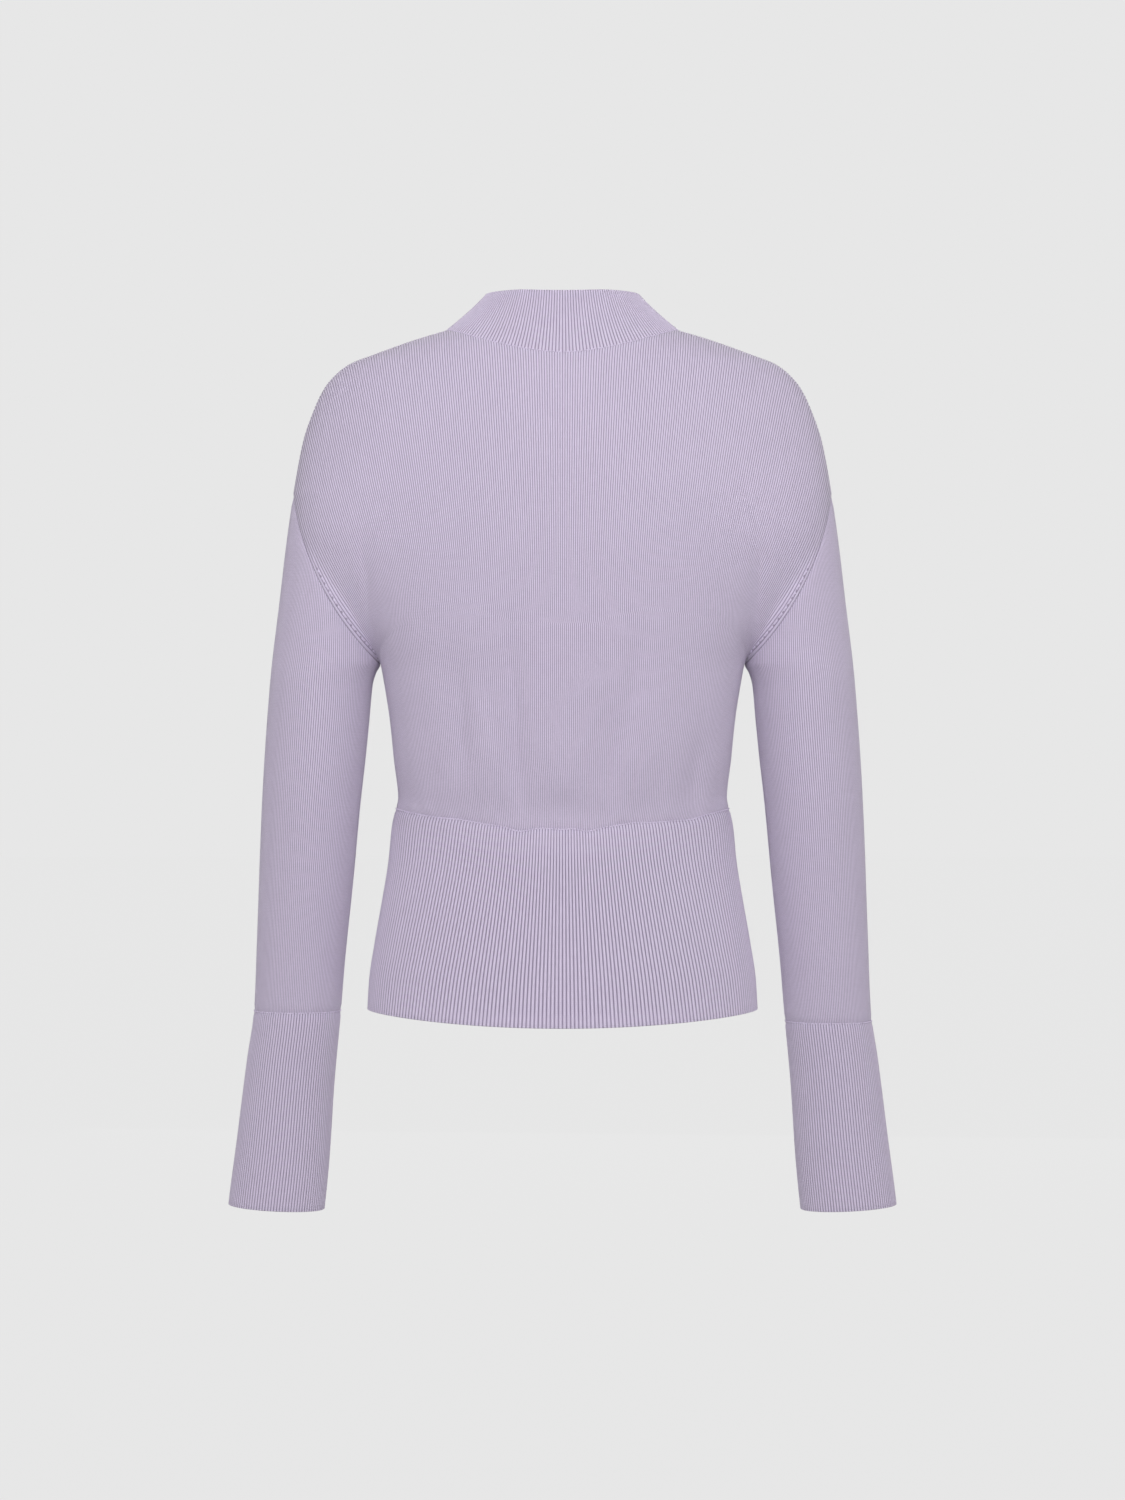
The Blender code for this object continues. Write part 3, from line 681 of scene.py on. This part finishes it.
def spreadRibs(places, side, s):
    # Ribs are laid along each row by the length that crosses them. They lean outwards by an angle
    # that grows with the distance from the middle, and run forwards where the cloth lies level, so a
    # step crosses them by |(dx cos lean - dz sin lean, dy (1 - nz^2))|, n being the cloth's normal.
    # A place x from -1 to 1 along the row goes to half + middle x + (half - middle) x |x|^3, where
    # middle is half of the row's length averaged over its neighbours, so that near the middle the
    # pitch changes slowly from row to row.
    points = inSpace(places, side)
    steps = np.diff(points, axis=1)
    lean = np.radians(np.clip(s["lean"] * points[:, 1:, 0], -s["mostLean"], s["mostLean"]))
    crossing = steps[..., 0] * np.cos(lean) - steps[..., 2] * np.sin(lean)
    upright = 1 - outwardNormals(points, False)[:, 1:, 2] ** 2
    crossed = np.cumsum(np.hypot(crossing, steps[..., 1] * upright), axis=1)
    crossed = np.concatenate([np.zeros((len(places), 1)), crossed], axis=1)
    half = crossed[:, -1:] / 2
    middle = smoothRows(half[:, 0], s["ribBlend"])[:, None]
    x = np.linspace(-1, 1, places.shape[1])
    wanted = half + middle * x + (half - middle) * x * np.abs(x) ** 3
    rows = zip(wanted, crossed, places)
    return np.array([
        np.column_stack([np.interp(sought, reached, row[:, axis]) for axis in (0, 1)])
        for sought, reached, row in rows
    ])


def smoothRows(values, width):
    # a running average with the weights exp(-(row / width)^2 / 2), with both ends kept
    reach = int(3 * width)
    bell = np.exp(-0.5 * (np.arange(-reach, reach + 1) / width) ** 2)
    before = 2 * values[0] - values[reach:0:-1]
    after = 2 * values[-1] - values[-2 : -reach - 2 : -1]
    return np.convolve(np.concatenate([before, values, after]), bell / bell.sum(), mode="valid")


def inSpace(places, side):
    # lifts places, each an across and a drop, onto the cloth, clear of the seam plane
    across, drop = places[..., 0], places[..., 1]
    y = np.maximum(standing(across, drop, side), form["seamPlaneGap"])
    return np.stack([across, y if side == back else -y, -drop], axis=-1)


def edgeDistances(points):
    # length along the cloth from each point to the start and end of its row, and of its column
    def travelled(axis):
        steps = np.linalg.norm(np.diff(points, axis=axis), axis=2)
        start = np.zeros_like(np.take(steps, [0], axis=axis))
        return np.concatenate([start, np.cumsum(steps, axis=axis)], axis=axis)

    across, along = travelled(1), travelled(0)
    return across, across[:, -1:] - across, along, along[-1:] - along


def roll(distance, s):
    # the cloth turns in towards a seam, by a bell exp(-(distance / width)^2)
    return -s["seamRoll"] * np.exp(-((distance / s["seamRollWidth"]) ** 2))


def gathers(across, distance, s):
    # small uneven ripples above the waist seam: sines whose phase wanders with another sine
    ripple = np.zeros_like(across)
    for high, length, wander, wanderLength in s["ripples"]:
        ripple += high * np.sin(across / length + wander * np.sin(across / wanderLength))
    return s["gather"] * ripple * np.exp(-((distance / s["gatherReach"]) ** 2))


def fashionMarks(points, fromRight, fromLeft, s):
    # where ribs were narrowed away: a pale lump every few millimetres and beside it a bead painted in
    # the grooves' shade for the dip, a little inside the armhole, and the armhole's own seam stitches,
    # painted in the same shade
    out = outwardNormals(points, False)
    armpitRow = s["rowsBelowArmpit"]
    lastRow = armpitRow + int(s["rowsAboveArmpit"] * s["markRows"])
    marks = []
    for distance, edge in ((fromRight, 0), (fromLeft, -1)):
        rows = np.arange(armpitRow + s["markStart"], lastRow)
        columns = np.argmin(np.abs(distance[rows] - s["markInset"]), axis=1)
        line, upwards = points[rows, columns], out[rows, columns]
        for yarnAndShade, start, lift in s["marks"]:
            beads = stitchRow(line, upwards, s["markSize"], s["markPitch"], s["markLean"], lift, start)
            marks.append((beads, yarnAndShade))
        line, upwards = points[armpitRow:, edge], out[armpitRow:, edge]
        # the seam stitches are painted in the grooves' shade, for the shade along the seam
        marks.append((stitchRow(line, upwards, s["seamStitch"], s["seamPitch"], 0, s["seamLift"]), paintedShade))
    return marks


def buildPanel(side, s):
    # the relief is the ribs, the rolls at the edges and the gathers, added up
    points = inSpace(panelPlaces(side, s), side)
    fromRight, fromLeft, fromWaist, fromTop = edgeDistances(points)
    ridge = s["ridgeRelief"] + (1 - s["ridgeRelief"]) * ease(fromTop / s["ridgeFade"])
    relief = ribRelief(points, False, s) * ridge + s["ridgeRoll"] * roll(fromTop, s)
    relief = relief + roll(fromRight, s) + roll(fromLeft, s) + roll(fromWaist, s)
    fromSide = np.minimum(fromRight, fromLeft)
    fade = ease(fromWaist / s["gatherStart"]) * ease(fromSide / s["gatherSide"])
    relief = relief + gathers(points[..., 0], fromWaist, s) * fade
    marks = fashionMarks(points, fromRight, fromLeft, s)
    piece = knitShell(side + "_panel_knit", points, relief, False, s, bodyKnit, marks)
    lie(piece, side + "_panel", areaOf(points, False))


for side in (back, front):
    buildPanel(side, panel)


# Waistband
waistband = {
    "ribs": 64,  # on each half
    "pointsPerRib": 5,
    "ribDepth": 1.05,
    "openPitch": 3.2,
    "course": 1.5,
    "rows": 42,
    "pinch": 0.19,  # how much closer the ribs lie in the middle of the waist than at the hem
    "waistRelief": 0.55,  # share of the ribs' relief at the waist seam
    "reliefGrowth": 22.0,  # distance from it at which they are full
    "lips": (0.7, 0.5),
    "seamRoll": 0.9,
    "seamRollWidth": 2.0,
    "stitchSize": (2.0, 1.05, 0.9),  # linking stitches: length, width and height
    "stitchPitch": 2.7,
    "stitchLift": 0.0,
    "cut": (0.46, 0.18),
}


def bandPlaces(side, s):
    # ribs are even along the hem, and drawn together in the middle of the waist, as the band flares:
    # waist share = (1 - pinch) x + pinch x |x|^3, x being the hem's share
    hem = torsoEdge(form["hemSide"]) * halfTurn()
    hem = evenly(np.column_stack([hem, hemDrop(hem, side)]), side, 2 * s["ribs"] * s["pointsPerRib"])
    hemShare = hem[:, 0] / torsoEdge(form["hemSide"])
    waistShare = (1 - s["pinch"]) * hemShare + s["pinch"] * hemShare * np.abs(hemShare) ** 3
    waistDrops = waistDrop(waistShare * torsoEdge(form["waistSide"]), side) + form["seamGap"]
    v = np.linspace(1, 0, s["rows"])[:, None]
    drop = (1 - v) * waistDrops + v * hem[:, 1]
    share = (1 - v) * waistShare + v * hemShare
    return np.stack([share * torsoEdge(drop), drop], axis=-1)


linkingLean = 24.0  # degrees that a linking stitch leans to either side of its seam


def linkingRow(points, closed, s, row=-1):
    # one row of linking stitches along a seam
    line, out = points[row], outwardNormals(points, closed)[row]
    if closed:
        line, out = np.concatenate([line, line[:1]]), np.concatenate([out, out[:1]])
    return stitchRow(line, out, s["stitchSize"], s["stitchPitch"], linkingLean, s["stitchLift"]), pale


def buildWaistband(side, s):
    # the relief is the ribs, which grow away from the waist seam, and the rolls at three edges
    points = inSpace(bandPlaces(side, s), side)
    fromRight, fromLeft, _, fromWaist = edgeDistances(points)
    growth = s["waistRelief"] + (1 - s["waistRelief"]) * ease(fromWaist / s["reliefGrowth"])
    relief = ribRelief(points, False, s) * growth
    relief = relief + roll(fromRight, s) + roll(fromLeft, s) + roll(fromWaist, s)
    linking = [linkingRow(points, False, s)]
    piece = knitShell("waistband_" + side + "_rib", points, relief, False, s, ribKnit, linking)
    lie(piece, "waistband_" + side, areaOf(points, False))


for side in (back, front):
    buildWaistband(side, waistband)


# Sleeves and cuffs
sleeve = {
    "ribs": 78,  # on each half of the tube
    "pointsPerRib": 3,
    "ribDepth": 0.55,
    "openPitch": 2.1,
    "course": 1.25,
    "rows": 68,
    # outer drop, inner drop and bow of the rings that lead from the slanted armhole to level ones
    "rings": [(181, 290, 9.5), (231, 302, 6), (292, 324, 2), (362, 372, 0)],
    "lips": (0.4, 0.4),
    "seamRoll": 0.7,
    "seamRollWidth": 1.5,
    "seamInset": 5.0,  # how far behind the inner line the underarm seam lies
    "seamDepth": 0.7,
    "seamHalfWidth": 1.1,
    "cut": (0.40, 0.50),
}
cuff = {
    "ribs": 48,
    "pointsPerRib": 5,
    "ribDepth": 0.75,
    "openPitch": 2.8,
    "course": 1.5,
    "rows": 34,
    "lips": (0.7, 0.4),
    "seamRoll": 0.8,
    "seamRollWidth": 1.8,
    "seamInset": 5.0,
    "seamDepth": 0.9,
    "seamHalfWidth": 1.1,
    "stitchSize": (2.0, 1.1, 0.95),
    "stitchPitch": 3.0,
    "stitchLift": 0.0,
    "cut": (0.26, 0.18),
}


def roundArm(outerDrop, innerDrop, bow, hand, columnsPerHalf):
    # closed rings round the arm, the back half first, with even steps along the cloth
    rings = []
    for ring in zip(outerDrop, innerDrop, bow):
        halves = []
        for side in (back, front):
            turn = np.linspace(0, np.pi, fineSteps)
            fine = armPoints(turn, ring, side)
            lengths = np.linalg.norm(np.diff(fine, axis=0), axis=1)
            travelled = np.concatenate([[0.0], np.cumsum(lengths)])
            even = np.interp(np.linspace(0, travelled[-1], columnsPerHalf + 1), travelled, turn)
            halves.append(armPoints(even, ring, side))
        rings.append(np.concatenate([halves[0][:-1], halves[1][:0:-1]]))
    return np.array(rings) * np.array([hand, 1.0, 1.0])


def armPoints(turn, ring, side):
    # the ring's places lifted onto the cloth and moved forward with the arm's middle
    places = armhole(turn, *(np.array(value) for value in ring))
    stands = standing(places[:, 0], places[:, 1], side)
    y = (stands if side == back else -stands) - atDrop("armDepth", 2, places[:, 1])
    return np.column_stack([places[:, 0], y, -places[:, 1]])


def underarmSeam(points, s):
    # a narrow groove down the tube, a bell across a line beside the inner one, where it was joined
    columns = points.shape[1]
    spacing = np.linalg.norm(np.diff(points, axis=1), axis=2).sum(axis=1, keepdims=True) / (columns - 1)
    fromInner = (columns / 2 - np.arange(columns)) * spacing
    return -s["seamDepth"] * np.exp(-(((fromInner - s["seamInset"]) / s["seamHalfWidth"]) ** 2))


def buildSleeve(hand, name, s):
    # rings read from the cubic through the table's ones, from the cuff seam up to the armhole
    gap = form["seamGap"]
    seam = form["cuffSeam"][hand] - gap / 2
    armholeRing = (form["armholeTop"] + gap / 2, form["armpit"] + gap, form["armholeBow"] + gap)
    rings = np.array([armholeRing, *s["rings"], (seam, seam, 0)], float)
    middles = (rings[:, 0] + rings[:, 1]) / 2
    wanted = np.linspace(middles[-1], middles[0], s["rows"])
    outer, inner, bow = (curveThrough(middles, rings[:, i], wanted) for i in range(3))
    points = roundArm(outer, inner, bow, hand, s["ribs"] * s["pointsPerRib"])
    _, _, fromCuff, fromArmhole = edgeDistances(points)
    relief = ribRelief(points, True, s) + underarmSeam(points, s)
    relief = relief + roll(fromCuff, s) + roll(fromArmhole, s)
    piece = knitShell("sleeve_" + name + "_knit", points, relief, True, s, bodyKnit)
    lie(piece, "sleeve_" + name, areaOf(points, True))


def buildCuff(hand, name, s):
    # nearly level rings from the open edge up to the cuff seam
    top = form["cuffSeam"][hand] + form["seamGap"] / 2
    outer = np.linspace(form["cuffOuter"], top, s["rows"])
    inner = np.linspace(form["cuffInner"], top, s["rows"])
    points = roundArm(outer, inner, np.zeros(s["rows"]), hand, s["ribs"] * s["pointsPerRib"])
    _, _, _, fromSeam = edgeDistances(points)
    relief = ribRelief(points, True, s) + underarmSeam(points, s)
    relief = relief + roll(fromSeam, s)
    linking = [linkingRow(points, True, s)]
    piece = knitShell("cuff_" + name + "_rib", points, relief, True, s, ribKnit, linking)
    lie(piece, "cuff_" + name, areaOf(points, True))


for name, hand in (("left", left), ("right", right)):
    buildSleeve(hand, name, sleeve)
    buildCuff(hand, name, cuff)


# Collar
collar = {
    "ribs": 47,  # on each quarter
    "pointsPerRib": 4,
    "ribDepth": 0.75,
    "openPitch": 2.4,
    "course": 1.3,
    "rows": 30,
    "rimHalfWidth": 65.5,
    "rimSideHeight": 33.8,
    "rimHeight": {back: 28.5, front: 10.0},
    "rimReach": {back: 47.0, front: 63.0},
    "cornerDip": 3.4,  # how much lower the rim lies at its two sides
    "cornerStart": 0.5,  # where the rim starts to dip, as a share of its half-width
    "cornerCurve": 1.4,  # exponent of that dip
    "hollow": 1.5,  # how far the wall hollows inwards halfway up
    "lips": (0.5, 0.8),
    "seamRoll": 0.3,
    "seamRollWidth": 1.6,
    "stitchSize": (1.5, 0.8, 0.6),
    "stitchPitch": 1.9,
    "stitchLift": -0.05,
    "cut": (0.52, 0.09),
}


def collarQuarter(side, sign, s):
    # the base, on the neckline, and the open rim, a quarter of the way round: an ellipse whose height
    # changes with the cosine's square, less the dip at the side
    steps = s["ribs"] * s["pointsPerRib"]
    line = neckline(side, steps)
    reach = standing(line[:, 0], line[:, 1], side)
    base = np.column_stack([line[:, 0], sign * reach, -line[:, 1]])
    base[-1, 1] = 0.0
    turn = np.linspace(0, np.pi / 2, steps + 1)
    height = s["rimSideHeight"] + (s["rimHeight"][side] - s["rimSideHeight"]) * np.cos(turn) ** 2
    corner = np.clip((np.sin(turn) - s["cornerStart"]) / (1 - s["cornerStart"]), 0, 1)
    height = height - s["cornerDip"] * corner ** s["cornerCurve"]
    y = sign * s["rimReach"][side] * np.cos(turn)
    rim = np.column_stack([s["rimHalfWidth"] * np.sin(turn), y, height])
    return base, rim


def buildCollar(s):
    # (1 - v) base + v rim for two quarters and their mirror images, hollowed by 4 v (1 - v)
    v = np.linspace(0, 1, s["rows"])[:, None, None]
    quarters = (collarQuarter(back, 1.0, s), collarQuarter(front, -1.0, s))
    behind, before = ((1 - v) * base + v * rim for base, rim in quarters)
    flip = np.array([-1.0, 1.0, 1.0])
    leftHalf = [behind[:, :-1], before[:, :0:-1]]
    rightHalf = [(before * flip)[:, :-1], (behind * flip)[:, :0:-1]]
    points = np.concatenate(leftHalf + rightHalf, axis=1)
    outwards = points * np.array([1.0, 1.0, 0.0])
    outwards /= np.linalg.norm(outwards, axis=2, keepdims=True)
    points = points - outwards * s["hollow"] * 4 * v * (1 - v)
    points = points + np.array([0.0, 0.0, form["seamGap"]]) * (1 - v)
    _, _, fromBase, _ = edgeDistances(points)
    relief = ribRelief(points, True, s) + roll(fromBase, s)
    linking = [linkingRow(points, True, s, row=0)]
    piece = knitShell("collar_rib", points, relief, True, s, ribKnit, linking)
    lie(piece, "collar", areaOf(points, True))


buildCollar(collar)


# Studio: soft light from all round, two lights behind the back, one overhead and one in front.
# The pale floor and surround glow evenly. Only the camera sees the surround.
studio = {
    "pale": (0.799, 0.799, 0.799),  # a plain light grey
    "ambient": (0.36, 0.36, 0.36),
    "floorHeight": -1.05,
    "size": 40.0,
    "floorGlow": 0.992,  # share of the floor's brightness that needs no light
    # place, size in metres, power in watts
    "lights": [
        ((-0.2, 2.2, 1.2), 1.6, 12.0), ((0.0, 3.15, 0.4), 2.4, 61.0),
        ((0.0, 0.2, 2.6), 2.6, 9.0), ((-0.3, -3.2, 0.1), 2.4, 54.0),
    ],
    "aim": (0.0, 0.0, -0.35),
}


def glowFinish(name, colour, share):
    # a matt paint that glows by itself for most of its brightness
    finish = Finish(name)
    finish.surface.inputs["Base Color"].default_value = (*colour, 1.0)
    finish.surface.inputs["Roughness"].default_value = 1.0
    finish.surface.inputs["Specular IOR Level"].default_value = 0.0
    glow = finish.node("ShaderNodeEmission", {}, {"Color": (*colour, 1.0), "Strength": 1.0})
    lit = Value(finish, finish.surface.outputs[0])
    mixed = finish.node("ShaderNodeMixShader", {}, {0: share, 1: lit, 2: glow})
    finish.feed(finish.tree.nodes["Material Output"].inputs["Surface"], mixed)
    return finish.material


def placeLights(s):
    # square area lights that all face the middle of the garment
    for number, (place, size, power) in enumerate(s["lights"]):
        light = bpy.data.lights.new("softLight" + str(number), "AREA")
        light.size = size
        light.energy = power
        lamp = bpy.data.objects.new(light.name, light)
        lamp.location = place
        lamp.rotation_euler = (Vector(s["aim"]) - Vector(place)).to_track_quat("-Z", "Y").to_euler()
        bpy.context.scene.collection.objects.link(lamp)


def stagePiece(name, points, faces, material):
    # a plain mesh that isn't part of the garment
    mesh = bpy.data.meshes.new(name)
    mesh.from_pydata(points, [], faces)
    mesh.materials.append(material)
    made = bpy.data.objects.new(name, mesh)
    bpy.context.scene.collection.objects.link(made)
    return made


def setStudio(s):
    # the floor is a square, and the surround is a square box without its bottom, standing on it
    world = bpy.data.worlds.new("softRoom")
    world.use_nodes = True
    bpy.context.scene.world = world
    world.node_tree.nodes["Background"].inputs["Color"].default_value = (*s["ambient"], 1.0)
    placeLights(s)
    half = s["size"] / 2
    corners = [(-half, -half), (half, -half), (half, half), (-half, half)]
    low = [(x, y, s["floorHeight"]) for x, y in corners]
    high = [(x, y, half) for x, y in corners]
    floorPaint = glowFinish("floorPaint", s["pale"], s["floorGlow"])
    floor = stagePiece("floor", low, [(0, 1, 2, 3)], floorPaint)
    floor.visible_diffuse = False
    walls = [(i, (i + 1) % 4, (i + 1) % 4 + 4, i + 4) for i in range(4)]
    surroundPaint = glowFinish("surroundPaint", s["pale"], 1.0)
    surround = stagePiece("surround", low + high, [*walls, (4, 5, 6, 7)], surroundPaint)
    surround.visible_diffuse = False
    surround.visible_glossy = False
    surround.visible_transmission = False
    surround.visible_shadow = False
    bpy.context.scene.view_settings.view_transform = "Standard"


setStudio(studio)
print("studio set")
